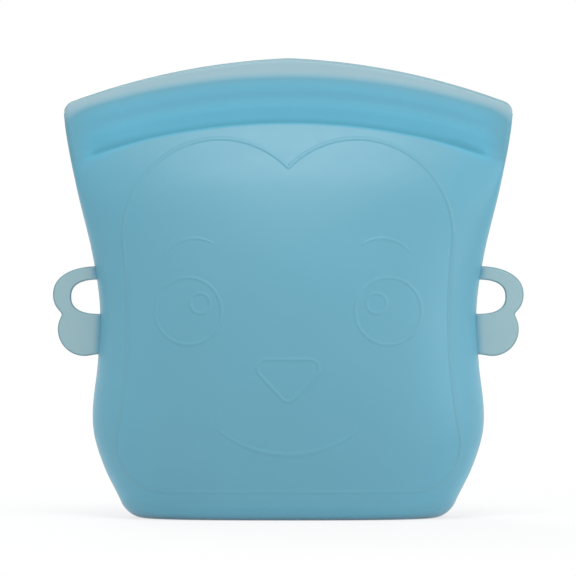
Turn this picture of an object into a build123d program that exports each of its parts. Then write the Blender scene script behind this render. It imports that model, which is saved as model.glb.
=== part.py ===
from build123d import *
import os
from math import copysign, cos, pi, sin, sqrt

# Stand-up silicone snack bag with a press-to-close zip along its arched mouth, an ear-shaped finger
# loop on each side and a plain animal face in low relief. Modelled closed and standing.
# Millimetres, +Z up, front towards -Y, origin on the floor under the middle of the foot.
#
# The bag is one silicone moulding. Its regions are separate solids here, bonded face to face where
# they don't move and HINGE_GAP apart where the silicone flexes.

# ---- driving dimensions ----
HEIGHT = 153.0  # floor to the peak of the rim
WIDTH = 150.0  # across the rim, without the ears
DEPTH = 60.0  # at the belly
WALL = 1.5  # pouch wall
FLOOR = 2.2  # under the food
HINGE_GAP = 0.35  # between solids that move apart

RIM_RADIUS = 235.0  # each half of the rim is one arc
RIM_PEAK_SHIFT = 9.4  # how far each rim arc's centre lies across the middle, for a low peak
RIM_ROUND = 0.5  # rounding along the rim's edges
CORNER_RADIUS = 2.6  # rim corners, in front view
FOOT_HEIGHT = 6.0  # the dish that the bag stands on
FOOT_ROUND = 5.0  # rounding under the foot
FLOOR_ROUND = 3.0  # rounding around the floor, inside
SEAM_WIDTH = 5.0  # fused strip down each side, from the silhouette inwards

ZIP_DROP = 21.8  # rim's peak to the zip's lower edge
ZIP_RADIUS = 208.0  # that edge is one arc
TRACK_BAND = 7.3  # height of the lower band, which holds the tracks
ZIP_BAND = 14.8  # height of both bands
BAND_SLOPE = 0.6  # run-out of each step in thickness
LIP_GAP = 0.3  # between the two lips when the zip is shut
FLANGE = 1.5  # thickness of the pull flange above the bands
BAND_CORE = 1.4  # half of the space between the bands, where the tracks lie
TRACK_BAND_OUT = 3.5  # outer faces of the two bands, from the middle plane
SEAL_BAND_OUT = 2.9

TONGUE_HEIGHT = TRACK_BAND / 2  # middle of the tongue, above the zip's foot
TONGUE_ROOT = 3.2
TONGUE_TIP = 1.0
TRACK_REACH = 0.95  # tongue and rails go this far past the middle plane
TRACK_CLEARANCE = 0.35
RAIL_MARGIN = 0.25  # rails stop this far from the band's edges

EAR_THICKNESS = 2.0
EAR_EDGE = 0.6  # rounding of its edges
EAR_TAB = 2.0  # how far out of the seam the ear's flexing line lies
LOOP_OUT = 6.0  # centres of loop, lobe and finger hole, from the bag's side
LOBE_OUT = 5.0
HOLE_OUT = 3.7
LOOP_RADIUS = 9.5
LOBE_RADIUS = 8.9
HOLE_RADIUS = 5.7
LOBE_DROP = 11.6  # from the loop's centre down to the lobe's
HOLE_DROP = 0.7
NOTCH_RADIUS = 1.0  # where loop and lobe meet

RELIEF = 0.5  # how far the face's lines stand proud of the wall
LINE_WIDTH = 1.5
EYE_RADIUS = 11.0
PUPIL_RADIUS = 3.3
NOSE_ROUND = 3.0
LIP_LINE = 2.2  # the mouth's crescent at its thickest

# Shape curves. Half width is by height, as shares of WIDTH / 2 and HEIGHT. Half depth is by distance
# below the zip, as shares of DEPTH / 2 and of the pouch's height. Squareness of the cross-section
# (2 is an ellipse) is by height.
HALF_WIDTHS = ((0, 0.713), (0.04, 0.747), (0.105, 0.812), (0.176, 0.859), (0.235, 0.867),
               (0.34, 0.844), (0.458, 0.835), (0.575, 0.869), (0.719, 0.939), (0.85, 0.989), (0.95, 1))
HALF_DEPTHS = ((-0.15, 0.12), (0, 0.12), (0.06, 0.287), (0.152, 0.527), (0.267, 0.753),
               (0.381, 0.91), (0.503, 0.99), (0.648, 1), (0.808, 0.94), (0.953, 0.84), (1.006, 0.807))
SQUARENESS = ((0, 2.5), (0.327, 2.1), (0.621, 2.2), (0.771, 3.4), (0.882, 5))
FOOT_SECTIONS = (0, 0.15, 0.5)  # cross-sections to loft through, as shares of the foot's rounding
WALL_SECTIONS = (0, 0.038, 0.083, 0.144, 0.22, 0.31, 0.417, 0.523, 0.629, 0.72, 0.803, 0.871, 0.924, 1)
SECTION_POINTS = 40  # around a cross-section

# ---- worked out ----
ZIP_FOOT = HEIGHT - ZIP_DROP
ZIP_CENTRE = ZIP_FOOT - ZIP_RADIUS
RIM_CENTRE = HEIGHT - sqrt(RIM_RADIUS**2 - RIM_PEAK_SHIFT**2)
FLANGE_OUT = LIP_GAP / 2 + FLANGE
FOLD_HEIGHT = 0.366 * HEIGHT  # belly line, where the wall bends as the mouth opens
BIG = 400.0  # larger than the whole bag, for cutting blocks


def smooth(stations, t):
    """Value at t of the smooth curve through (t, value) stations."""
    last = len(stations) - 1
    i = min(max(sum(s[0] <= t for s in stations) - 1, 0), last - 1)

    def slope(k):
        low, high = stations[max(k - 1, 0)], stations[min(k + 1, last)]
        return (high[1] - low[1]) / (high[0] - low[0])

    (start, before), (end, after) = stations[i], stations[i + 1]
    span = end - start
    u = min(max((t - start) / span, 0), 1)
    value = before * (1 + 2 * u) * (1 - u) ** 2 + after * u * u * (3 - 2 * u)
    return value + span * (slope(i) * u * (1 - u) ** 2 + slope(i + 1) * u * u * (u - 1))


def half_width(z):
    return WIDTH / 2 * smooth(HALF_WIDTHS, z / HEIGHT)


def zip_foot(x):
    """Height of the zip's lower edge at x."""
    return ZIP_CENTRE + sqrt(ZIP_RADIUS**2 - x * x)


LOOP_HEIGHT = 0.485 * HEIGHT
SIDE = half_width(LOOP_HEIGHT)  # the bag's side where the ear grows from it
EAR_AXIS = SIDE + EAR_TAB + HINGE_GAP + EAR_THICKNESS / 2
LOBE_HEIGHT = LOOP_HEIGHT - LOBE_DROP
HOLE_HEIGHT = LOOP_HEIGHT - HOLE_DROP
EAR_TOP = LOOP_HEIGHT + LOOP_RADIUS
EAR_BOTTOM = LOBE_HEIGHT - LOBE_RADIUS


# ---- cutting blocks ----
def slab(low, high):
    """Everything between two heights."""
    return Pos(0, 0, (low + high) / 2) * Box(BIG, BIG, high - low)


def front_or_rear(side):
    """Everything in front (side -1) or behind (side 1) of the middle plane."""
    return Pos(0, side * BIG / 2, 0) * Box(BIG, BIG, 2 * BIG)


def left_or_right(side):
    """Everything left (side -1) or right (side 1) of the middle."""
    return Pos(side * BIG / 2, 0, 0) * Box(BIG, BIG, 2 * BIG)


def through(face):
    """A front-view face as a prism along Y, right through the bag."""
    return extrude(Plane.XZ * face, BIG / 2, both=True)


def outline_prism(inset):
    """The bag's front view as a prism along Y, its sides moved inwards by inset."""
    heights = [share * HEIGHT for share, _ in HALF_WIDTHS] + [1.1 * HEIGHT]
    right = [(half_width(z) - inset, z) for z in heights]
    left = [(-x, z) for x, z in right]
    edges = [Spline(*right), Line(right[-1], left[-1]), Spline(*left), Line(left[0], right[0])]
    prism = through(make_face(edges))
    for shift in (-RIM_PEAK_SHIFT, RIM_PEAK_SHIFT):
        prism = prism & through(Pos(shift, RIM_CENTRE) * Circle(RIM_RADIUS))
    return prism


# ---- pouch ----
def cross_section(z, inset):
    """Cross-section of the pouch at height z, moved inwards by inset, as a face."""
    a = half_width(z) - inset
    power = smooth(SQUARENESS, z / HEIGHT)
    points = []
    for i in range(SECTION_POINTS):
        angle = 2 * pi * i / SECTION_POINTS
        x = a * cos(angle)
        depth = DEPTH / 2 * smooth(HALF_DEPTHS, (zip_foot(x) - z) / ZIP_FOOT) - inset
        y = depth * max(1 - abs(cos(angle)) ** power, 0) ** (1 / power)
        points.append((x, copysign(y, sin(angle)), z))
    steps = [i / SECTION_POINTS for i in range(SECTION_POINTS + 1)]
    return Face(Wire([Edge.make_spline(points, periodic=True, parameters=steps)]))


def pouch_volume(inset, bottom=0.0, rounding=FOOT_ROUND):
    """The pouch as a full volume, its surface moved inwards by inset, rounded under its foot."""
    top = ZIP_FOOT + 3
    heights = [bottom + rounding * share for share in FOOT_SECTIONS]
    heights += [FOOT_ROUND + (top - FOOT_ROUND) * share for share in WALL_SECTIONS]
    sections = []
    for z in heights:
        below = max(rounding - (z - bottom), 0)
        sections.append(cross_section(z, inset + rounding - sqrt(rounding**2 - below**2)))
    return loft(sections)


# ---- lips and zip ----
def arched(*points):
    """A profile of (y, height above the zip's foot) points, swept along the zip's arch."""
    outline = Polyline(*[(y, ZIP_FOOT + q) for y, q in points], close=True)
    return revolve(Plane.YZ * make_face(outline), Axis((0, 0, ZIP_CENTRE), (0, 1, 0)), 360)


def band_profile(side):
    """Both bands of one lip, from the zip's foot to the pull flange."""
    points = [
        (BAND_CORE, 0),
        (TRACK_BAND_OUT, 0),
        (TRACK_BAND_OUT, TRACK_BAND - BAND_SLOPE),
        (SEAL_BAND_OUT, TRACK_BAND),
        (SEAL_BAND_OUT, ZIP_BAND - 2 * BAND_SLOPE),
        (FLANGE_OUT, ZIP_BAND),
        (LIP_GAP / 2, ZIP_BAND),
        (BAND_CORE, ZIP_BAND - 2 * BAND_SLOPE),
    ]
    return [(side * y, q) for y, q in points]


def flange(side, sides):
    """Pull flange of one lip, from the bands up to the rim, with rounded rim edges."""
    low, high = LIP_GAP / 2, FLANGE_OUT
    top = 1.5 * ZIP_DROP
    profile = [(side * y, q) for y, q in ((low, ZIP_BAND), (high, ZIP_BAND), (high, top), (low, top))]
    plate = arched(*profile) & sides
    rim = plate.faces().sort_by(Axis.Z)[-2:].edges().filter_by(lambda edge: edge.length > 20)
    return fillet(rim, RIM_ROUND)


def track_half_height(y):
    """Half height of the tongue at depth y: it tapers from its root to its tip."""
    share = (y + BAND_CORE) / (TRACK_REACH + BAND_CORE)
    return (TONGUE_ROOT + (TONGUE_TIP - TONGUE_ROOT) * share) / 2


def tongue_profile():
    """Tongue of the front lip, pointing back."""
    ends = ((-BAND_CORE, -1), (TRACK_REACH, -1), (TRACK_REACH, 1), (-BAND_CORE, 1))
    return [(y, TONGUE_HEIGHT + side * track_half_height(y)) for y, side in ends]


def rail_profile(edge, side):
    """Rail of the rear lip's groove, below (side -1) or above (side 1) the tongue."""
    def face(y):
        return TONGUE_HEIGHT + side * (track_half_height(y) + TRACK_CLEARANCE)

    return [
        (BAND_CORE, edge),
        (-TRACK_REACH, edge),
        (-TRACK_REACH, face(-TRACK_REACH)),
        (TRACK_REACH, face(TRACK_REACH)),
        (BAND_CORE, face(TRACK_REACH)),
    ]


def seal_profile():
    """Sealing rib of the rear lip, pointing forward between the upper bands."""
    low, high = TRACK_BAND + 1, ZIP_BAND - 2 * BAND_SLOPE - 1
    return [(BAND_CORE, low), (-TRACK_REACH, low + 1), (-TRACK_REACH, high - 1), (BAND_CORE, high)]


# ---- ears ----
def ear_root(plate):
    """The two stretches of a plate's inner edge where the ear joins the seam."""
    below = plate & slab(EAR_BOTTOM, HOLE_HEIGHT - HOLE_RADIUS)
    return below + (plate & slab(HOLE_HEIGHT + HOLE_RADIUS, EAR_TOP))


def mirrored(shape, side):
    """The right-hand shape, or its mirror image for the left (side -1)."""
    return shape if side > 0 else mirror(shape, Plane.YZ)


def ear_loop():
    """Right ear: a finger loop above a filled lobe, hinged along a round root bead."""
    shape = Sketch() + Pos(SIDE + LOOP_OUT, LOOP_HEIGHT) * Circle(LOOP_RADIUS)
    shape += Pos(SIDE + LOBE_OUT, LOBE_HEIGHT) * Circle(LOBE_RADIUS)
    shape = fillet(shape.vertices().sort_by(Axis.X)[-1], NOTCH_RADIUS)
    width, height = SIDE + LOBE_OUT - EAR_AXIS, EAR_TOP - EAR_BOTTOM
    shape += Pos(EAR_AXIS + width / 2, EAR_BOTTOM + height / 2) * Rectangle(width, height)
    shape = shape & (Pos(EAR_AXIS + BIG / 2, 0) * Rectangle(BIG, BIG))
    hole = Pos(SIDE + HOLE_OUT, HOLE_HEIGHT) * Circle(HOLE_RADIUS)
    hole += Pos(SIDE + HOLE_OUT - HOLE_RADIUS, HOLE_HEIGHT) * Rectangle(2 * HOLE_RADIUS, 2 * HOLE_RADIUS)
    plate = extrude(Plane.XZ * (shape - hole), EAR_THICKNESS / 2, both=True)
    arcs = plate.edges().filter_by(GeomType.CIRCLE)
    plate = fillet(arcs.filter_by(lambda edge: edge.center().X > EAR_AXIS + 1), EAR_EDGE)
    return plate + ear_root(Pos(EAR_AXIS, 0, 0) * Cylinder(EAR_THICKNESS / 2, BIG))


def ear_tabs(pouch):
    """Right-hand tabs of the seam, which carry the ear up to the line where it flexes."""
    inside = 3
    width = inside + EAR_TAB
    return ear_root(Pos(SIDE - inside + width / 2, 0, 0) * Box(width, EAR_THICKNESS, BIG)) - pouch


# ---- face ----
def at(x, z):
    """A point of the face, from shares of half the width and of the height."""
    return x * WIDTH / 2, z * HEIGHT


def face_outline():
    """Heart-topped line around the face."""
    lobe = ThreePointArc(at(0, 0.762), at(0.293, 0.825), at(0.6, 0.765))
    shoulder = TangentArc(lobe @ 1, at(0.727, 0.588), tangent=lobe % 1)
    side = TangentArc(shoulder @ 1, at(0.76, 0.183), tangent=shoulder % 1)
    chin = TangentArc(side @ 1, at(0.56, 0.063), tangent=side % 1)
    line = trace([lobe, shoulder, side, chin, Line(chin @ 1, at(0, 0.063))], LINE_WIDTH)
    return line + mirror(line, Plane.YZ)


def ring(centre, radius):
    """A raised circle line."""
    return Pos(*centre) * (Circle(radius + LINE_WIDTH / 2) - Circle(radius - LINE_WIDTH / 2))


def eyes():
    eye = Sketch() + ring(at(0.44, 0.453), EYE_RADIUS) + ring(at(0.387, 0.47), PUPIL_RADIUS)
    return eye + mirror(eye, Plane.YZ)


def brows():
    brow = trace(ThreePointArc(at(0.32, 0.595), at(0.44, 0.608), at(0.547, 0.572)), LINE_WIDTH)
    return brow + mirror(brow, Plane.YZ)


def nose():
    triangle = Polygon(at(-0.187, 0.35), at(0.187, 0.35), at(0, 0.25), align=None)
    shape = fillet(triangle.vertices(), NOSE_ROUND)
    return shape - offset(shape, -LINE_WIDTH)


def mouth():
    left, right = at(-0.347, 0.216), at(0.347, 0.216)
    x, low = at(0, 0.137)
    return make_face([ThreePointArc(left, (x, z), right) for z in (low, low + LIP_LINE)])


def save(shape, name):
    export_step(shape, f"parts/{name}.step")


os.makedirs("parts", exist_ok=True)

# ---- assembly ----
outer = pouch_volume(0)
inner = pouch_volume(WALL, FLOOR, FLOOR_ROUND)
relief = (pouch_volume(-RELIEF) - outer) & front_or_rear(-1)
below_zip = through(Pos(0, ZIP_CENTRE) * Circle(ZIP_RADIUS))
within_seams = outline_prism(SEAM_WIDTH)
panel = outline_prism(SEAM_WIDTH + HINGE_GAP)
lower = slab(FOOT_HEIGHT, FOLD_HEIGHT)
upper = slab(FOLD_HEIGHT + HINGE_GAP, HEIGHT)

shell = (outer - inner) & below_zip
save(shell & slab(0, FOOT_HEIGHT), "foot")
for side, name in ((-1, "front"), (1, "rear")):
    wall = shell & front_or_rear(side)
    save(wall & within_seams & lower, f"{name}_wall_lower")
    save(wall & panel & upper, f"{name}_wall_upper")
    save(arched(*band_profile(side)) & panel, f"{name}_zip_band")
    save(flange(side, panel), f"{name}_pull_flange")

seams = (shell & slab(FOOT_HEIGHT, HEIGHT)) - within_seams
zip_ends = outline_prism(0)
zip_ends = fillet(zip_ends.edges().filter_by(Axis.Y).group_by(Axis.Z)[-2], CORNER_RADIUS)
zip_ends = (zip_ends & Box(BIG, 2 * FLANGE_OUT, BIG)) - within_seams - below_zip
for side, name in ((-1, "left"), (1, "right")):
    save((seams & left_or_right(side)) + mirrored(ear_tabs(outer), side), f"{name}_side_seam")
    save(zip_ends & left_or_right(side), f"{name}_zip_end")
    save(mirrored(ear_loop(), side), f"{name}_ear_loop")

save(arched(*tongue_profile()) & panel, "zip_tongue")
save(arched(*rail_profile(RAIL_MARGIN, -1)) & panel, "zip_rail_lower")
save(arched(*rail_profile(TRACK_BAND - RAIL_MARGIN, 1)) & panel, "zip_rail_upper")
save(arched(*seal_profile()) & panel, "zip_seal_rib")

save(relief & through(face_outline()) & lower, "face_outline_lower")
save(relief & through(face_outline()) & upper, "face_outline_upper")
for shape, name in ((eyes(), "eyes"), (brows(), "brows"), (nose(), "nose"), (mouth(), "mouth")):
    save(relief & through(shape), name)
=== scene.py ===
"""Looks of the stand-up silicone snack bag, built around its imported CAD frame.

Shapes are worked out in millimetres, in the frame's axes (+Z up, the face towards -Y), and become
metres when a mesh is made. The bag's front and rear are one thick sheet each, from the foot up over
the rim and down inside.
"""

from math import atan2, cos, pi, radians, sin, sqrt

import bmesh
import bpy
import numpy as np
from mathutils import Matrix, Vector


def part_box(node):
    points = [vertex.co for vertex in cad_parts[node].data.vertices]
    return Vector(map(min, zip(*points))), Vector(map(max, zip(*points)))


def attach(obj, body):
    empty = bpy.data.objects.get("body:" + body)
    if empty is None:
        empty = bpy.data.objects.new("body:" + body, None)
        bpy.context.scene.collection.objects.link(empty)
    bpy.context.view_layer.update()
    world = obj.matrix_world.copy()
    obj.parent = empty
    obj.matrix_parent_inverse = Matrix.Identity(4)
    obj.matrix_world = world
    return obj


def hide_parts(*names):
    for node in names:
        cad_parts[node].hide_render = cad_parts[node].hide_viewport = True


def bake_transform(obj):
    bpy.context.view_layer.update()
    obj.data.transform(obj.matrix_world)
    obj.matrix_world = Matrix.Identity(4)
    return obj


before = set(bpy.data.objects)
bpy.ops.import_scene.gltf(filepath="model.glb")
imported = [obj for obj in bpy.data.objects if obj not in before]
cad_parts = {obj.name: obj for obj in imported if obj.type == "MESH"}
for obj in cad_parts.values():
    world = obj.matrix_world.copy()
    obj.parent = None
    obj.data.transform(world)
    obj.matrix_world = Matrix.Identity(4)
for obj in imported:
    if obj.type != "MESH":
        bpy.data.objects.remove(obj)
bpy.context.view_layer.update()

MM = 0.001

# ---- driving dimensions, as in the CAD ----
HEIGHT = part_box("front_pull_flange")[1].z / MM
WIDTH = 150.0  # across the rim, without the ears
DEPTH = 60.0  # at the belly
WALL = 1.5
FLOOR = 2.2
RIM_RADIUS = 235.0  # each half of the rim is one arc
RIM_PEAK_SHIFT = 9.4  # how far each rim arc's centre lies across the middle, for a low peak
CORNER_RADIUS = 2.6
FOOT_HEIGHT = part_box("foot")[1].z / MM
FOOT_ROUND = 5.0
FLOOR_ROUND = 3.0
ZIP_DROP = 21.8  # rim's peak to the zip's lower edge
ZIP_RADIUS = 208.0
TRACK_BAND = 7.3  # height of the lower band, which holds the tracks
ZIP_BAND = 14.8  # height of both bands
LIP_GAP = 0.3
FLANGE = 1.5  # thickness of the pull flange above the bands
BAND_CORE = 1.4  # half of the space between the bands, where the tracks lie
TRACK_BAND_OUT = 3.5  # outer faces of the two bands, from the middle plane
SEAL_BAND_OUT = 2.9
TRACK_REACH = 0.95  # tongue and rails go this far past the middle plane
TRACK_CLEARANCE = 0.35
RAIL_MARGIN = 0.25  # rails stop this far from the band's edges
TONGUE_ROOT = 3.2
TONGUE_TIP = 1.0
EAR_THICKNESS = 2.0
LOOP_OUT = 6.0  # centres of loop, lobe and finger hole, from the bag's side
LOBE_OUT = 5.0
HOLE_OUT = 3.7
LOOP_RADIUS = 9.5
LOBE_RADIUS = 8.9
HOLE_RADIUS = 5.7
LOBE_DROP = 11.6  # from the loop's centre down to the lobe's
HOLE_DROP = 0.7
EYE_RADIUS = 11.0
PUPIL_RADIUS = 3.3
NOSE_ROUND = 3.0
LIP_LINE = 2.2  # the mouth's crescent at its thickest

# ---- dimensions that only the looks have ----
FRONT_RIM_DROP = 0.5  # the front rim lies this far below the rear one
WALL_TO_LIP = 3.0  # height over which the wall's depth turns into the lip's
LIP_INSET = 0.4  # inner face of a lip, in from the bag's side
INSET_RUN = 4.0  # height over which the wall's thickness turns into that
SEAM_LINE_OUT = 0.25  # half of the mould line's thickness
SEAM_LINE_HALF = 0.5  # half of its width
SEAM_LINE_SINK = 0.1  # it lies this far into the bag's side
SEAM_LINE_TOP = 0.88  # as a share of the height
TRACK_END = 6.5  # tracks stop this far from the bag's side
TRACK_SINK = 0.2  # their roots go this far into the band
TRACK_ROUND = 0.15
RIB_BOTTOM = TRACK_BAND + 1
RIB_TOP = ZIP_BAND - 2.2
RIB_TAPER = 1.0
EAR_ROUND = 0.7
EAR_SINK = 1.0  # the ear's root goes this far into the bag's side
EAR_CUTS = np.arange(63.5, 70.5, 0.5)  # its mesh is divided this far from the middle
LINE_HEIGHT = 0.2  # the face's lines, above the wall
OUTLINE_HEIGHT = 0.26
LINE_HALF = 1.0  # half of their width
LINE_SINK = 0.02  # their edges lie this far into the wall
LINE_STEP = 0.5
MOUTH_TIP_HALF = 0.35

# Stretches over which one thickness turns into the next: the first three are heights above the
# zip's foot, the others are distances in from the bag's side.
TRACK_BAND_EDGE = (5.0, 9.5)
SEAL_BAND_EDGE = (10.5, 18.0)
RECESS_EDGE = (12.4, 14.6)  # top of the space between the bands
BAND_END = (0.5, 16)
RECESS_END = (5.0, 6.0)

# How much silicone lies behind the surface, with painted shade in it: 0 at a rounded edge, darkened there as
# painted shade, and 1 where the tracks begin, which also makes a painted shade line along the zip's lower
# edge.
THIN_LAYERS = 0.25  # flange and ears
WALL_LAYERS = 0.5
FOOT_LAYERS = 0.55
SEAM_LINE_LAYERS = 0.6
SEAL_BAND_LAYERS = 0.75
TRACK_BAND_LAYERS = 0.9
# The tracks, and the painted shade line along the zip's lower edge, where the band meets the wall.
TRACK_AND_SHADE_LINE_LAYERS = 1.0
SIDE_EXTRA = 0.12  # more where the wall turns away towards the bag's side
SEAM_EXTRA = 0.1  # and more again at the seam

# Stretches over which one of them turns into the next, measured in the same way.
# The painted shade line along the zip's lower edge fades out over the first of these.
SHADE_LINE_RUN = (0.0, 2.6)
TRACK_BAND_TINT = (5.5, 8.5)
SEAL_BAND_TINT = (12.0, 18.0)
BAND_END_TINT = (0, 9)
SIDE_TINT = (28, 4)
SEAM_TINT = (4.5, 0)

# The zip's lower edge is softer near the bag's sides.
EDGE_BLUR = 0.8
EDGE_BLUR_MORE = 2.5
EDGE_BLUR_SIDE = (30, 5)
EDGE_BLUR_ABOVE = 0.4

# How far a lip would bend a point: the mouth's corners would stay, and the middle of the rim would follow
# almost fully.
BEND_CORNER = 0.902  # about the height of those corners, as a share
BEND_RUN = 78.0
BEND_SOFT = 14.0  # rounds the bend off across the middle

# Shape curves, as in the CAD, except that the wall flares straight from the zip. Half width is by
# height, as shares of WIDTH / 2 and HEIGHT. Half depth is by distance below the zip, as shares of
# DEPTH / 2 and of the pouch's height. Squareness of the cross-section (2 is an ellipse) is by height.
HALF_WIDTHS = ((0, 0.713), (0.04, 0.747), (0.105, 0.812), (0.176, 0.859), (0.235, 0.867),
               (0.34, 0.844), (0.458, 0.835), (0.575, 0.869), (0.719, 0.939), (0.85, 0.989), (0.95, 1))
HALF_DEPTHS = ((0, 0.12), (0.06, 0.287), (0.152, 0.527), (0.267, 0.753),
               (0.381, 0.91), (0.503, 0.99), (0.648, 1), (0.808, 0.94), (0.953, 0.84), (1.006, 0.807))
SQUARENESS = ((0, 2.5), (0.327, 2.1), (0.621, 2.2), (0.771, 3.4), (0.882, 5))

ZIP_FOOT = HEIGHT - ZIP_DROP
ZIP_CENTRE = ZIP_FOOT - ZIP_RADIUS
RIM_CENTRE = HEIGHT - sqrt(RIM_RADIUS**2 - RIM_PEAK_SHIFT**2)
FLANGE_OUT = LIP_GAP / 2 + FLANGE
EAR_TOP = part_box("right_ear_loop")[1].z / MM
EAR_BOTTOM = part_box("right_ear_loop")[0].z / MM
LOOP_HEIGHT = EAR_TOP - LOOP_RADIUS
LOBE_HEIGHT = LOOP_HEIGHT - LOBE_DROP
HOLE_HEIGHT = LOOP_HEIGHT - HOLE_DROP


# ---- shape of the bag, in arrays ----
def smooth(stations, t):
    """Values at t of the smooth curve through (t, value) stations."""
    x, v = np.array(stations, float).T
    t = np.clip(np.asarray(t, float), x[0], x[-1])
    last = len(x) - 1
    low = np.maximum(np.arange(last + 1) - 1, 0)
    high = np.minimum(np.arange(last + 1) + 1, last)
    slope = (v[high] - v[low]) / (x[high] - x[low])
    i = np.clip(np.searchsorted(x, t, side="right") - 1, 0, last - 1)
    span = x[i + 1] - x[i]
    u = (t - x[i]) / span
    value = v[i] * (1 + 2 * u) * (1 - u) ** 2 + v[i + 1] * u * u * (3 - 2 * u)
    return value + span * (slope[i] * u * (1 - u) ** 2 + slope[i + 1] * u * u * (u - 1))


def ease(low, high, t):
    """0 up to low, 1 from high on, smooth between. With low above high it falls instead."""
    u = np.clip((np.asarray(t, float) - low) / (high - low), 0, 1)
    return u * u * (3 - 2 * u)


def half_width(z):
    return WIDTH / 2 * smooth(HALF_WIDTHS, z / HEIGHT)


def zip_foot(x):
    """Height of the zip's lower edge at x."""
    return ZIP_CENTRE + np.sqrt(ZIP_RADIUS**2 - x * x)


def rim(x):
    """Height of the rim at x, with its low peak and rounded corners."""
    arc = RIM_CENTRE + np.sqrt(RIM_RADIUS**2 - (np.abs(x) + RIM_PEAK_SHIFT) ** 2)
    corner = half_width(arc) - CORNER_RADIUS
    past = np.clip(np.abs(x) - corner, 0, CORNER_RADIUS)
    return arc - CORNER_RADIUS + np.sqrt(CORNER_RADIUS**2 - past**2)


def height_where(line, s, first_guess=0.85, rounds=15):
    """Height at which the column at share s of the half width meets the line z = line(x)."""
    z = np.full_like(s, first_guess * HEIGHT)
    for _ in range(rounds):
        z = line(s * half_width(z))
    return z


def columns(count, typical_width=0.84, samples=4001):
    """Shares of the half width from -1 to 1, evenly spaced along a typical cross-section."""
    angle = np.linspace(-pi / 2, pi / 2, samples)
    x, y = typical_width * WIDTH * np.sin(angle), DEPTH * np.cos(angle)
    run = np.concatenate(([0], np.cumsum(np.hypot(np.diff(x), np.diff(y)))))
    s = np.sin(np.interp(np.linspace(0, run[-1], count), run, angle))
    s[[0, -1]] = -1, 1
    return s


def pouch_point(s, z, inset):
    """(x, half depth) of the pouch at share s of the half width, moved inwards by inset."""
    a = half_width(z) - inset
    power = smooth(SQUARENESS, z / HEIGHT)
    depth = DEPTH / 2 * smooth(HALF_DEPTHS, (zip_foot(s * a) - z) / ZIP_FOOT) - inset
    return s * a, depth * np.maximum(1 - np.abs(s) ** power, 0) ** (1 / power)


def foot_inset(z, bottom, rounding):
    """How far the foot's rounding draws the wall in at height z."""
    below = np.clip(rounding - (z - bottom), 0, rounding)
    return rounding - np.sqrt(rounding**2 - below**2)


# ---- meshes ----
def make_piece(name, points, faces, layers_and_shade, sharp_faces=0):
    """A closed, smooth-shaded mesh from points in millimetres.

    layers_and_shade says how much silicone lies behind each point, with any painted shade, for all of them
    or one by one. The last sharp_faces faces meet the others at a hard edge.
    """
    points = np.asarray(points, float)
    mesh = bpy.data.meshes.new(name)
    mesh.from_pydata((points * MM).tolist(), [], faces)
    attribute = mesh.attributes.new("layers_and_shade", "FLOAT", "POINT")
    attribute.data.foreach_set("value", np.broadcast_to(layers_and_shade, len(points)).astype(np.float32))
    corners = np.zeros(len(mesh.loops), np.int32)
    mesh.loops.foreach_get("vertex_index", corners)
    skin = mesh.uv_layers.new(name="Skin")
    skin.data.foreach_set("uv", (points[:, ::2] / WIDTH + 0.5).astype(np.float32)[corners].ravel())
    mesh.shade_smooth()
    if sharp_faces:
        hard = {key for polygon in mesh.polygons[-sharp_faces:] for key in polygon.edge_keys}
        for edge in mesh.edges:
            edge.use_edge_sharp = edge.key in hard
    turned = bmesh.new()
    turned.from_mesh(mesh)
    bmesh.ops.recalc_face_normals(turned, faces=turned.faces)
    turned.to_mesh(mesh)
    turned.free()
    piece = bpy.data.objects.new(name, mesh)
    bpy.context.scene.collection.objects.link(piece)
    return piece


def grid_faces(rows, cols, wrap_cols=False):
    """Quads between the points of a grid whose last row joins its first."""
    r, c = np.meshgrid(np.arange(rows), np.arange(cols if wrap_cols else cols - 1), indexing="ij")
    r, c = r.ravel(), c.ravel()
    r2, c2 = (r + 1) % rows, (c + 1) % cols
    return np.stack((r * cols + c, r * cols + c2, r2 * cols + c2, r2 * cols + c), 1).tolist()


def end_faces(rows, cols):
    """The two end faces of such a grid."""
    return [list(range(end, rows * cols, cols)) for end in (0, cols - 1)]


def layers_and_shade_at(x, z):
    """How much silicone lies behind the surface: wall, side seams, zip bands and flange, and a painted shade
    line along the zip's lower edge.
    """
    above_zip = np.hypot(x, z - ZIP_CENTRE) - ZIP_RADIUS
    from_side = half_width(z) - np.abs(x)
    track_band = (TRACK_BAND_LAYERS - SEAL_BAND_LAYERS) * (1 - ease(*TRACK_BAND_TINT, above_zip))
    # Painted shade: a darker line just above the zip's lower edge.
    shade_line = (TRACK_AND_SHADE_LINE_LAYERS - TRACK_BAND_LAYERS) * (1 - ease(*SHADE_LINE_RUN, above_zip))
    band = SEAL_BAND_LAYERS + track_band + shade_line
    band = WALL_LAYERS + (band - WALL_LAYERS) * ease(*BAND_END_TINT, from_side)
    lip = THIN_LAYERS + (band - THIN_LAYERS) * (1 - ease(*SEAL_BAND_TINT, above_zip))
    wall = WALL_LAYERS + SIDE_EXTRA * ease(*SIDE_TINT, from_side) + SEAM_EXTRA * ease(*SEAM_TINT, from_side)
    blur = EDGE_BLUR + EDGE_BLUR_MORE * ease(*EDGE_BLUR_SIDE, from_side)
    return wall + (lip - wall) * ease(-blur, EDGE_BLUR_ABOVE, above_zip)


def follow_lip(piece):
    """Work out how far a lip would bend each point: most at the middle of the rim, not at all at seams and
    foot. The shares are not kept, and the piece keeps its shape.
    """
    mesh = piece.data
    rest = np.zeros(len(mesh.vertices) * 3)
    mesh.vertices.foreach_get("co", rest)
    x, _, z = rest.reshape(-1, 3).T / MM
    share = np.zeros((len(x), 3))
    share[:, 2] = ((WIDTH / 2 - np.hypot(x, BEND_SOFT)) + (z - BEND_CORNER * HEIGHT)) / BEND_RUN
    mesh.vertices.foreach_set("co", share.ravel())
    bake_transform(piece)
    mesh.vertices.foreach_set("co", rest)
    mesh.update()


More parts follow.
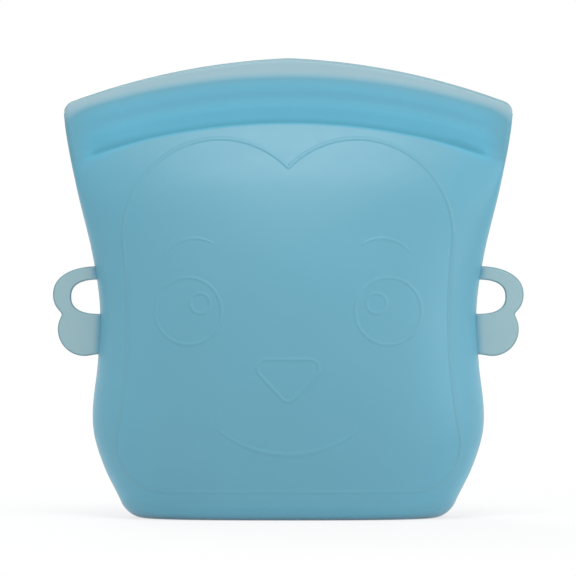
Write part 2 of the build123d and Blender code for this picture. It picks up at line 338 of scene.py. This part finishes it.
# ---- sheets: wall and lip in one ----
def lip_faces(x, z):
    """(outer, inner) half depths of a lip."""
    above_zip = np.hypot(x, z - ZIP_CENTRE) - ZIP_RADIUS
    from_side = half_width(z) - np.abs(x)
    seal_band = (SEAL_BAND_OUT - FLANGE_OUT) * (1 - ease(*SEAL_BAND_EDGE, above_zip))
    track_band = (TRACK_BAND_OUT - SEAL_BAND_OUT) * (1 - ease(*TRACK_BAND_EDGE, above_zip))
    recess = (1 - ease(*RECESS_EDGE, above_zip)) * ease(*RECESS_END, from_side)
    outer = FLANGE_OUT + (seal_band + track_band) * ease(*BAND_END, from_side)
    inner = LIP_GAP / 2 + (BAND_CORE - LIP_GAP / 2) * recess
    rounding = np.sqrt(1 - np.clip(1 - from_side / FLANGE_OUT, 0, 1) ** 2)
    return outer * rounding, inner * rounding


def sheet(name, side, cols, wall_rows, lip_rows, inner_rows, rim_steps=9):
    """The bag's front (side -1) or rear (side 1), from the foot over the rim and down inside."""
    s = columns(cols)
    foot_z = np.full_like(s, FOOT_HEIGHT)
    lowered = FRONT_RIM_DROP if side < 0 else 0
    zip_z = height_where(zip_foot, s)
    top_z = height_where(rim, s) - FLANGE / 2 - lowered

    def rows_between(low, high, count):
        return low + (high - low) * np.linspace(0, 1, count)[:, None]

    z = rows_between(foot_z, zip_z, wall_rows)
    x, y = pouch_point(s, z, 0)
    outer_wall = x, y, z

    foot_depth = y[-1]
    z = rows_between(zip_z, top_z, lip_rows)[1:]
    x = s * half_width(z)
    outer_lip = x, foot_depth + (lip_faces(x, z)[0] - foot_depth) * ease(0, WALL_TO_LIP, z - zip_z), z

    x = s * half_width(top_z)
    out, inn = lip_faces(x, top_z)
    turn = np.linspace(0, pi, rim_steps)[1:-1, None]
    y = (out + inn) / 2 + (out - inn) / 2 * np.cos(turn)
    rim_round = x + 0 * turn, y, top_z + FLANGE / 2 * np.sin(turn)

    z = rows_between(zip_z, top_z, lip_rows // 2)[::-1]
    inset = LIP_INSET + (WALL - LIP_INSET) * (1 - ease(0, INSET_RUN, z - zip_z))
    x = s * (half_width(z) - inset)
    inner_lip = x, lip_faces(x, z)[1], z

    lip_depth = inner_lip[1][-1]
    z = rows_between(foot_z, zip_z, inner_rows)[::-1][1:]
    x, y = pouch_point(s, z, WALL)
    inner_wall = x, lip_depth + (y - lip_depth) * ease(0, WALL_TO_LIP, zip_z - z), z

    stretches = outer_wall, outer_lip, rim_round, inner_lip, inner_wall
    x, y, z = (np.concatenate([stretch[k] for stretch in stretches]) for k in range(3))
    y[:, [0, -1]] = 0
    rows = len(x)
    points = np.stack((x, side * y, z), 2).reshape(-1, 3)
    # At its two ends the rim's rounding closes on itself, so the end faces leave it out.
    rounding = range(wall_rows + lip_rows, wall_rows + lip_rows + len(turn) - 1)
    ends = [[row * cols + end for row in range(rows) if row not in rounding] for end in (0, cols - 1)]
    faces = grid_faces(rows, cols) + ends
    below_rim = top_z + FLANGE / 2 - z
    # Near the rim's top the colour is pulled down to the edge colour: painted shade.
    layers_and_shade = layers_and_shade_at(x, z) * ease(-0.2, 0.6, below_rim)
    return make_piece(name, points, faces, layers_and_shade.ravel(), sharp_faces=cols + 1)


def foot(cols=360, steps=12):
    """Thick bottom, rounded outside and inside, up to where the sheets begin."""
    s = columns(cols // 2 + 1)
    s = np.concatenate((s[:-1], s[:0:-1]))
    side = np.where(np.arange(cols) < cols // 2, -1, 1)
    side[[0, cols // 2]] = 0
    turn = np.linspace(0, pi / 2, steps)
    outside = [(FOOT_ROUND * (1 - sin(a)), FOOT_ROUND * (1 - cos(a))) for a in turn]
    inside = [(WALL + FLOOR_ROUND * (1 - sin(a)), FLOOR + FLOOR_ROUND * (1 - cos(a))) for a in turn]
    profile = outside + [(0, FOOT_HEIGHT), (WALL, FOOT_HEIGHT)] + inside[::-1]
    rings = []
    for inset, z in profile:
        x, y = pouch_point(s, np.full(cols, float(z)), inset)
        rings.append(np.stack((x, side * y, np.full(cols, z)), 1))
    points = np.concatenate(rings)
    rows = len(rings)
    quads = grid_faces(rows, cols, wrap_cols=True)
    top = len(outside) * cols
    walls = quads[:top] + quads[top + cols:(rows - 1) * cols]
    caps = [list(range(cols)), list(range(len(points) - cols, len(points)))]
    faces = walls + caps + quads[top:top + cols]
    return make_piece("foot_moulding", points, faces, FOOT_LAYERS, sharp_faces=cols + 2)


def seam_line(name, side, around=12, along=240):
    """The fine line that the mould's halves leave along one side."""
    z = np.linspace(FOOT_ROUND / 2, SEAM_LINE_TOP * HEIGHT, along)
    x = half_width(z) - foot_inset(z, 0, FOOT_ROUND)
    turn = np.linspace(0, 2 * pi, around, endpoint=False)[:, None]
    out = x - SEAM_LINE_SINK + SEAM_LINE_OUT * np.cos(turn)
    points = np.stack((side * out, SEAM_LINE_HALF * np.sin(turn) + 0 * x, z + 0 * turn), 2)
    faces = grid_faces(around, along) + end_faces(around, along)
    return make_piece(name, points.reshape(-1, 3), faces, SEAM_LINE_LAYERS, sharp_faces=2)


# ---- zip ----
def arched(name, profile, ends_at=0.9, cols=161):
    """A bar along the zip's arch, from a profile of (y, distance above the zip's foot)."""
    reach = half_width(ends_at * HEIGHT) - TRACK_END
    turn = np.arcsin(np.linspace(-reach, reach, cols) / ZIP_RADIUS)
    rows = len(profile)
    rings = []
    for y, above_zip in profile:
        radius = ZIP_RADIUS + above_zip
        z = ZIP_CENTRE + radius * np.cos(turn)
        rings.append(np.stack((radius * np.sin(turn), np.full(cols, y), z), 1))
    faces = grid_faces(rows, cols) + end_faces(rows, cols)
    return make_piece(name, np.concatenate(rings), faces, TRACK_AND_SHADE_LINE_LAYERS, sharp_faces=2)


def rounded(corners, radius, steps):
    """The closed outline through corners, with its corners rounded."""
    corners = [np.array(corner, float) for corner in corners]
    outline = []
    for i, corner in enumerate(corners):
        before = corners[i - 1] - corner
        after = corners[(i + 1) % len(corners)] - corner
        before, after = before / np.linalg.norm(before), after / np.linalg.norm(after)
        half = np.arccos(np.clip(before @ after, -1, 1)) / 2
        middle = (before + after) / np.linalg.norm(before + after)
        centre = corner + middle * radius / sin(half)
        first, last = corner + before * radius / np.tan(half), corner + after * radius / np.tan(half)
        for share in np.linspace(0, 1, steps + 1):
            spoke = first + (last - first) * share - centre
            outline.append(centre + spoke * radius / np.linalg.norm(spoke))
    return outline


def track_half_height(y):
    """Half height of the tongue at depth y: it tapers from its root to its tip."""
    share = (y + BAND_CORE) / (TRACK_REACH + BAND_CORE)
    return (TONGUE_ROOT + (TONGUE_TIP - TONGUE_ROOT) * share) / 2


def zip_pieces():
    """Tongue, groove rails and sealing rib, with the lip that each is on."""
    root = BAND_CORE + TRACK_SINK
    tongue = [(-root, -1), (TRACK_REACH, -1), (TRACK_REACH, 1), (-root, 1)]
    tongue = [(y, TRACK_BAND / 2 + end * track_half_height(y)) for y, end in tongue]
    pieces = {"zip_tongue": (tongue, "front_lip")}
    for name, end in (("zip_rail_lower", -1), ("zip_rail_upper", 1)):
        edge = TRACK_BAND / 2 + end * (TRACK_BAND / 2 - RAIL_MARGIN)
        tip = TRACK_BAND / 2 + end * (track_half_height(-TRACK_REACH) + TRACK_CLEARANCE)
        back = TRACK_BAND / 2 + end * (track_half_height(TRACK_REACH) + TRACK_CLEARANCE)
        rail = [(root, edge), (-TRACK_REACH, edge), (-TRACK_REACH, tip), (TRACK_REACH, back), (root, back)]
        pieces[name] = (rail, "rear_lip")
    tip_bottom, tip_top = RIB_BOTTOM + RIB_TAPER, RIB_TOP - RIB_TAPER
    rib = [(root, RIB_BOTTOM), (-TRACK_REACH, tip_bottom), (-TRACK_REACH, tip_top), (root, RIB_TOP)]
    pieces["zip_seal_rib"] = (rib, "rear_lip")
    return pieces


# ---- ears ----
def oval(centre, reach, rise, power, start, end, count):
    """Points of a squarish oval from angle start to angle end."""
    angle = np.linspace(start, end, count)
    c, s = np.cos(angle), np.sin(angle)
    size = (np.abs(c / reach) ** power + np.abs(s / rise) ** power) ** (-1 / power)
    return np.array(centre) + size[:, None] * np.stack((c, s), 1)


def ear_outline():
    """Right ear in front view: a finger loop above a filled lobe."""
    bag_side = half_width(LOOP_HEIGHT)
    root = bag_side - EAR_SINK
    top, bottom = pi / 2, -pi / 2
    loop = oval((bag_side, LOOP_HEIGHT), LOOP_OUT + LOOP_RADIUS, LOOP_RADIUS, 2.25, top, bottom, 300)
    lobe = oval((bag_side + LOBE_OUT, LOBE_HEIGHT), LOBE_RADIUS, LOBE_RADIUS, 2, top, bottom - 0.3, 300)
    gap = np.linalg.norm(loop[:, None] - lobe[None], axis=2)
    last, first = np.unravel_index(np.argmin(gap), gap.shape)
    hole = oval((bag_side, HOLE_HEIGHT), HOLE_OUT + HOLE_RADIUS, HOLE_RADIUS, 2.5, bottom, top, 120)
    outside = np.concatenate(([(root, EAR_TOP)], loop[:last], lobe[first + 1:], [(root, EAR_BOTTOM + 0.7)]))
    inside = np.concatenate(([(root, HOLE_HEIGHT - HOLE_RADIUS)], hole, [(root, HOLE_HEIGHT + HOLE_RADIUS)]))
    return soften(outside, reach=1.0), soften(inside, reach=0.6)


def soften(path, reach, step=0.25):
    """Path evenly spaced and smoothed over about reach, with its two ends kept."""
    run = np.concatenate(([0], np.cumsum(np.linalg.norm(np.diff(path, axis=0), axis=1))))
    even = np.linspace(0, run[-1], int(run[-1] / step))
    path = np.stack([np.interp(even, run, path[:, k]) for k in (0, 1)], 1)
    for _ in range(int((reach / step) ** 2)):
        path[1:-1] = (path[:-2] + 2 * path[1:-1] + path[2:]) / 4
    return path[::2]


def ear(name, side):
    """One ear, side 1 on the right and -1 on the left: a plate with round edges."""
    outline = bpy.data.curves.new(name, "CURVE")
    outline.dimensions = "2D"
    outline.fill_mode = "BOTH"
    outline.extrude = (EAR_THICKNESS / 2 - EAR_ROUND) * MM
    outline.bevel_depth = EAR_ROUND * MM
    outline.bevel_resolution = 5
    outline.offset = -EAR_ROUND * MM
    path = np.concatenate(ear_outline())
    spline = outline.splines.new("POLY")
    spline.points.add(len(path) - 1)
    spline.use_cyclic_u = True
    for point, (x, z) in zip(spline.points, path * MM):
        point.co = (side * x, z, 0, 1)
    holder = bpy.data.objects.new(name + "_outline", outline)
    bpy.context.scene.collection.objects.link(holder)
    plate = bmesh.new()
    flat = bpy.data.meshes.new_from_object(holder.evaluated_get(bpy.context.evaluated_depsgraph_get()))
    plate.from_mesh(flat)
    bpy.data.objects.remove(holder)
    bpy.data.meshes.remove(flat)
    for vertex in plate.verts:
        x, z, y = vertex.co
        vertex.co = (x, -y, z)
    bmesh.ops.remove_doubles(plate, verts=plate.verts, dist=1e-6)
    for x in EAR_CUTS * side * MM:
        geometry = plate.verts[:] + plate.edges[:] + plate.faces[:]
        bmesh.ops.bisect_plane(plate, geom=geometry, plane_co=(x, 0, 0), plane_no=(1, 0, 0), dist=1e-7)
    plate.faces.ensure_lookup_table()
    index = {vertex: i for i, vertex in enumerate(plate.verts)}
    points = np.array([vertex.co[:] for vertex in plate.verts]) / MM
    is_flat = [abs(face.normal.y) > 0.999 for face in plate.faces]
    order = sorted(range(len(is_flat)), key=lambda i: is_flat[i])
    faces = [[index[vertex] for vertex in plate.faces[i].verts] for i in order]
    plate.free()
    past_root = np.abs(points[:, 0]) - half_width(points[:, 2])
    # Round the ear's rim the colour is pulled down to the edge colour: painted shade.
    edge = ease(EAR_THICKNESS / 2 - 0.01, EAR_THICKNESS / 2 - 0.2, np.abs(points[:, 1]))
    layers_and_shade = (WALL_LAYERS - (WALL_LAYERS - THIN_LAYERS) * ease(-0.5, 2.5, past_root)) * (1 - edge)
    return make_piece(name, points, faces, layers_and_shade, sharp_faces=sum(is_flat))


# ---- face in relief ----
# Places as shares of half the width and of the height.
OUTLINE_LOBE = ((0, 0.762), (0.293, 0.825), (0.6, 0.765))
OUTLINE_SHOULDER = (0.727, 0.588)
OUTLINE_SIDE = (0.76, 0.183)
OUTLINE_CHIN = (0.56, 0.063)
EYE = (0.44, 0.453)
PUPIL = (0.387, 0.47)
BROW = ((0.32, 0.595), (0.44, 0.608), (0.547, 0.572))
NOSE_TIP = (0, 0.25)
NOSE_CORNER = (0.187, 0.35)
MOUTH_TIP = (0.347, 0.216)
MOUTH_BOTTOM = (0, 0.137)


def circle_through(a, b, c):
    """(centre, radius) of the circle through three points."""
    system = 2 * np.array([b - a, c - a])
    centre = np.linalg.solve(system, [b @ b - a @ a, c @ c - a @ a])
    return centre, np.linalg.norm(a - centre)


def arc(centre, radius, start, turn):
    """Points along an arc that starts at angle start."""
    angle = start + np.linspace(0, turn, max(int(abs(turn) * radius / LINE_STEP), 3))
    return centre + radius * np.stack((np.cos(angle), np.sin(angle)), 1)


def angle_of(point, centre):
    return atan2(point[1] - centre[1], point[0] - centre[0])


def three_point_arc(a, b, c):
    centre, radius = circle_through(a, b, c)
    start = angle_of(a, centre)
    turn = (angle_of(c, centre) - start) % (2 * pi)
    if (angle_of(b, centre) - start) % (2 * pi) > turn:
        turn -= 2 * pi
    return arc(centre, radius, start, turn)


def tangent_arc(before, end):
    """Arc that carries on from the end of the points before, up to end."""
    start = before[-1]
    along = start - before[-2]
    normal = np.array([-along[1], along[0]]) / np.linalg.norm(along)
    chord = end - start
    reach = (chord @ chord) / (2 * (chord @ normal))
    centre = start + reach * normal
    turn = (angle_of(end, centre) - angle_of(start, centre)) % (2 * pi)
    return arc(centre, abs(reach), angle_of(start, centre), turn if reach > 0 else turn - 2 * pi)


def at(place, side=1):
    """A point of the face in millimetres, side 1 on the right and -1 on the left."""
    x, z = place
    return np.array([side * x * WIDTH / 2, z * HEIGHT])


def mirrored(path):
    return path[::-1] * (-1, 1)


def outline_path():
    """The outline round the whole face: two lobes on top, a shoulder, a side and a chin."""
    lobe = three_point_arc(*(at(place) for place in OUTLINE_LOBE))
    shoulder = tangent_arc(lobe, at(OUTLINE_SHOULDER))
    side = tangent_arc(shoulder, at(OUTLINE_SIDE))
    chin = tangent_arc(side, at(OUTLINE_CHIN))
    count = int(chin[-1][0] / LINE_STEP)
    bottom = np.linspace(chin[-1], at((0, OUTLINE_CHIN[1])), count)
    half = np.concatenate((lobe, shoulder[1:], side[1:], chin[1:], bottom[1:]))
    return np.concatenate((half, mirrored(half)[1:-1]))


def nose_path():
    """A triangle with rounded corners, pointing down."""
    corners = rounded((at(NOSE_TIP), at(NOSE_CORNER), at(NOSE_CORNER, side=-1)), NOSE_ROUND, steps=10)
    path = [corners[0]]
    for point in corners[1:] + corners[:1]:
        count = max(int(np.linalg.norm(point - path[-1]) / LINE_STEP), 1)
        path += list(np.linspace(path[-1], point, count + 1)[1:])
    return np.array(path[:-1])


def bead(name, path, half_widths, closed=False, height=LINE_HEIGHT, steps=13, back_depth=0.5):
    """A soft raised line along a path on the front wall, of one height or one per point.

    Its back is hidden in the wall, and is a little narrower than the line.
    """
    if closed:
        along = np.roll(path, -1, 0) - np.roll(path, 1, 0)
    else:
        along = np.gradient(path, axis=0)
    across = np.stack((-along[:, 1], along[:, 0]), 1) / np.linalg.norm(along, axis=1)[:, None]
    share = np.concatenate((np.linspace(-1, 1, steps), (0.9, -0.9)))[:, None]
    full = height * np.broadcast_to(half_widths / np.max(half_widths), len(path))
    rise = full * (1 + np.cos(pi * share)) / 2 - LINE_SINK
    rise[-2:] = -back_depth
    x, z = (path[:, k] + share * across[:, k] * half_widths for k in (0, 1))
    wall = pouch_point(x / half_width(z), z, 0)[1]
    points = np.stack((x, -(wall + rise), z), 2).reshape(-1, 3)
    rows, cols = x.shape
    faces = grid_faces(rows, cols, wrap_cols=closed)
    if not closed:
        faces += end_faces(rows, cols)
    return make_piece(name, points, faces, WALL_LAYERS)


def face_pieces():
    """Every raised line of the face, with the CAD nodes that it stands for."""
    around = 2 * pi
    pieces = []
    path = outline_path()
    lower_at_foot = 0.4 + 0.6 * ease(9, 20, path[:, 1])
    outline = bead("face_outline", path, LINE_HALF, closed=True, height=OUTLINE_HEIGHT * lower_at_foot)
    pieces.append((outline, ("face_outline_lower", "face_outline_upper")))
    for name, side in (("left", -1), ("right", 1)):
        eye = arc(at(EYE, side), EYE_RADIUS, 0, around)[:-1]
        pupil = arc(at(PUPIL, side), PUPIL_RADIUS, 0, around)[:-1]
        brow = three_point_arc(*(at(place, side) for place in BROW))
        ends = LINE_HALF * np.sqrt(np.sin(np.linspace(0.03, pi - 0.03, len(brow))))
        pieces.append((bead(name + "_eye", eye, LINE_HALF, closed=True), ("eyes",)))
        pieces.append((bead(name + "_pupil", pupil, LINE_HALF, closed=True), ("eyes",)))
        pieces.append((bead(name + "_brow", brow, ends), ("brows",)))
    pieces.append((bead("nose_line", nose_path(), LINE_HALF, closed=True), ("nose",)))
    middle = at(MOUTH_BOTTOM) + (0, LIP_LINE / 2)
    smile = three_point_arc(at(MOUTH_TIP, side=-1), middle, at(MOUTH_TIP))
    width = MOUTH_TIP_HALF + LIP_LINE / 2 * np.sin(np.linspace(0, pi, len(smile)))
    pieces.append((bead("mouth_line", smile, width), ("mouth",)))
    return pieces


# ---- materials ----
# Painted shade: the dark colour at rounded edges, along the rim's top and round the ears.
EDGE_SHADE_COLOUR = (0.13, 0.29, 0.33)
BAND_COLOUR = (0.124, 0.456, 0.628)
# The tracks' own colour, and the painted shade in the dark line along the zip's lower edge.
TRACK_AND_SHADE_LINE_COLOUR = (0.088, 0.376, 0.520)
ROUGHNESS = 0.4


def silicone(name, thin, wall):
    """Matt silicone: colour from the silicone behind, painted shade at rounded edges and along the zip's
    lower edge, a faint cloudiness, and a fine grain.
    """
    material = bpy.data.materials.new(name)
    material.use_nodes = True
    nodes, links = material.node_tree.nodes, material.node_tree.links
    shader = nodes["Principled BSDF"]
    shader.inputs["IOR"].default_value = 1.41
    shader.inputs["Specular IOR Level"].default_value = 0.5
    shader.inputs["Sheen Weight"].default_value = 0.05
    shader.inputs["Sheen Roughness"].default_value = 0.6

    layers_and_shade = nodes.new("ShaderNodeAttribute")
    layers_and_shade.attribute_name = "layers_and_shade"
    tone_and_shade = nodes.new("ShaderNodeValToRGB")
    tone_and_shade.color_ramp.elements[0].color = (*EDGE_SHADE_COLOUR, 1)
    tone_and_shade.color_ramp.elements[1].color = (*TRACK_AND_SHADE_LINE_COLOUR, 1)
    tone_and_shade.color_ramp.elements.new(THIN_LAYERS).color = (*thin, 1)
    tone_and_shade.color_ramp.elements.new(WALL_LAYERS).color = (*wall, 1)
    tone_and_shade.color_ramp.elements.new(TRACK_BAND_LAYERS).color = (*BAND_COLOUR, 1)
    links.new(layers_and_shade.outputs["Fac"], tone_and_shade.inputs["Fac"])

    place = nodes.new("ShaderNodeTexCoord")

    def noise(scale, detail):
        texture = nodes.new("ShaderNodeTexNoise")
        texture.inputs["Scale"].default_value = scale
        texture.inputs["Detail"].default_value = detail
        links.new(place.outputs["Object"], texture.inputs["Vector"])
        return texture.outputs["Fac"]

    def spread(value, low, high):
        part = nodes.new("ShaderNodeMapRange")
        part.inputs["From Min"].default_value = 0.3
        part.inputs["From Max"].default_value = 0.7
        part.inputs["To Min"].default_value = low
        part.inputs["To Max"].default_value = high
        links.new(value, part.inputs["Value"])
        return part.outputs["Result"]

    cloudy = nodes.new("ShaderNodeHueSaturation")
    links.new(tone_and_shade.outputs["Color"], cloudy.inputs["Color"])
    links.new(spread(noise(scale=38, detail=3), low=0.99, high=1.01), cloudy.inputs["Value"])
    links.new(cloudy.outputs["Color"], shader.inputs["Base Color"])
    rough = spread(noise(scale=160, detail=4), low=ROUGHNESS - 0.02, high=ROUGHNESS + 0.02)
    links.new(rough, shader.inputs["Roughness"])

    grain = nodes.new("ShaderNodeBump")
    grain.inputs["Strength"].default_value = 0.25
    grain.inputs["Distance"].default_value = 0.00004
    links.new(noise(scale=2200, detail=3), grain.inputs["Height"])
    links.new(grain.outputs["Normal"], shader.inputs["Normal"])
    return material


def dress(piece, material):
    piece.data.materials.append(material)


# ---- the bag ----
skin = silicone("silicone_skin", thin=(0.368, 0.558, 0.635), wall=(0.146, 0.405, 0.526))
ear_skin = silicone("silicone_ear", thin=(0.354, 0.537, 0.585), wall=(0.135, 0.395, 0.515))

front = sheet("front_sheet", -1, cols=250, wall_rows=190, lip_rows=44, inner_rows=50)
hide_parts("front_wall_lower", "front_wall_upper", "front_zip_band", "front_pull_flange",
            "left_zip_end", "right_zip_end")
rear = sheet("rear_sheet", 1, cols=200, wall_rows=150, lip_rows=40, inner_rows=50)
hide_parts("rear_wall_lower", "rear_wall_upper", "rear_zip_band", "rear_pull_flange")
for piece, lip in ((front, "front_lip"), (rear, "rear_lip")):
    dress(piece, skin)
    follow_lip(piece)

bottom = foot()
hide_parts("foot")
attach(bottom, "pouch")
dress(bottom, skin)

for name, (profile, lip) in zip_pieces().items():
    bar = arched(name + "_bar", rounded(profile, TRACK_ROUND, steps=3))
    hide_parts(name)
    dress(bar, skin)
    follow_lip(bar)

for name, side in (("left", -1), ("right", 1)):
    loop = ear(name + "_ear_plate", side)
    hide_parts(name + "_ear_loop")
    dress(loop, ear_skin)
    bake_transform(loop)
    line = seam_line(name + "_seam_line", side)
    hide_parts(name + "_side_seam")
    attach(line, "pouch")
    dress(line, skin)

for line, nodes in face_pieces():
    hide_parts(*nodes)
    dress(line, skin)
    if line.name in ("nose_line", "mouth_line"):
        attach(line, "pouch")
    else:
        follow_lip(line)


# ---- studio, in metres ----
WORLD_STRENGTH = 0.52
FLOOR_HALF = 3.0
SHADOW_WHITE = 0.75  # how much white covers the floor beside the bag, where it keeps its shadow
SHADOW_END = (0.08, 0.3)  # from the first distance to the second it turns plain white
LAMPS = (  # name, place, size, power
    ("softbox", (0.03, -0.5, 1.36), (0.6, 0.6), 8.8),
    ("side", (1.4, -0.55, 0.45), (0.5, 0.9), 4.0),
    ("back", (-0.4, 1.2, 0.9), (0.8, 0.8), 6),
)
CAMERA_TARGET = (-0.1, 0, 76.4)  # in millimetres
CAMERA_DISTANCE = 2
CAMERA_RISE = 1.2  # degrees
CAMERA_LENS = 375


def area_light(name, place, target, size, power):
    light = bpy.data.lights.new(name, "AREA")
    light.shape = "RECTANGLE"
    light.size, light.size_y = size
    light.energy = power
    lamp = bpy.data.objects.new(name, light)
    bpy.context.scene.collection.objects.link(lamp)
    lamp.location = place
    lamp.rotation_euler = (Vector(target) - Vector(place)).to_track_quat("-Z", "Y").to_euler()


def camera_white(tree, plain, share=None):
    """White over a plain shader where it is seen directly, mirrored or through something.

    share is an output that says how much of the plain shader the white covers there.
    """
    path = tree.nodes.new("ShaderNodeLightPath")
    seen = path.outputs["Is Camera Ray"]
    for ray in ("Is Glossy Ray", "Is Transmission Ray"):
        either = tree.nodes.new("ShaderNodeMath")
        either.operation = "MAXIMUM"
        tree.links.new(seen, either.inputs[0])
        tree.links.new(path.outputs[ray], either.inputs[1])
        seen = either.outputs[0]
    if share:
        part = tree.nodes.new("ShaderNodeMath")
        part.operation = "MULTIPLY"
        tree.links.new(seen, part.inputs[0])
        tree.links.new(share, part.inputs[1])
        seen = part.outputs[0]
    white = tree.nodes.new("ShaderNodeEmission")
    mix = tree.nodes.new("ShaderNodeMixShader")
    tree.links.new(seen, mix.inputs["Fac"])
    tree.links.new(plain, mix.inputs[1])
    tree.links.new(white.outputs["Emission"], mix.inputs[2])
    return mix.outputs["Shader"]


def studio():
    """White floor that keeps a soft shadow, white surroundings, and three soft lamps."""
    world = bpy.data.worlds.new("studio")
    bpy.context.scene.world = world
    world.use_nodes = True
    tree = world.node_tree
    around = tree.nodes["Background"]
    around.inputs["Strength"].default_value = WORLD_STRENGTH
    around.inputs["Color"].default_value = (1, 1, 1, 1)
    shader = camera_white(tree, around.outputs["Background"])
    tree.links.new(shader, tree.nodes["World Output"].inputs["Surface"])

    mesh = bpy.data.meshes.new("floor")
    half = FLOOR_HALF
    corners = [(-half, -half, 0), (half, -half, 0), (half, half, 0), (-half, half, 0)]
    mesh.from_pydata(corners, [], [(0, 1, 2, 3)])
    ground = bpy.data.objects.new("floor", mesh)
    bpy.context.scene.collection.objects.link(ground)
    paper = bpy.data.materials.new("white_paper")
    paper.use_nodes = True
    tree = paper.node_tree
    plain = tree.nodes["Principled BSDF"]
    plain.inputs["Base Color"].default_value = (0.9, 0.9, 0.9, 1)
    plain.inputs["Roughness"].default_value = 0.9
    place = tree.nodes.new("ShaderNodeTexCoord")
    far = tree.nodes.new("ShaderNodeVectorMath")
    far.operation = "LENGTH"
    tree.links.new(place.outputs["Object"], far.inputs[0])
    share = tree.nodes.new("ShaderNodeMapRange")
    share.interpolation_type = "SMOOTHSTEP"
    share.inputs["From Min"].default_value = SHADOW_END[0]
    share.inputs["From Max"].default_value = SHADOW_END[1]
    share.inputs["To Min"].default_value = SHADOW_WHITE
    tree.links.new(far.outputs["Value"], share.inputs["Value"])
    shader = camera_white(tree, plain.outputs["BSDF"], share.outputs["Result"])
    tree.links.new(shader, tree.nodes["Material Output"].inputs["Surface"])
    mesh.materials.append(paper)

    middle = (0, 0, HEIGHT / 2 * MM)
    for name, place, size, power in LAMPS:
        area_light(name, place, middle, size, power)


def camera():
    lens = bpy.data.cameras.new("camera")
    lens.sensor_width = 36
    lens.lens = CAMERA_LENS
    eye = bpy.data.objects.new("camera", lens)
    bpy.context.scene.collection.objects.link(eye)
    target = Vector(CAMERA_TARGET) * MM
    rise = radians(CAMERA_RISE)
    eye.location = target + CAMERA_DISTANCE * Vector((0, -cos(rise), sin(rise)))
    eye.rotation_euler = (target - eye.location).to_track_quat("-Z", "Y").to_euler()
    bpy.context.scene.camera = eye


studio()
camera()
bpy.context.scene.view_settings.view_transform = "Standard"
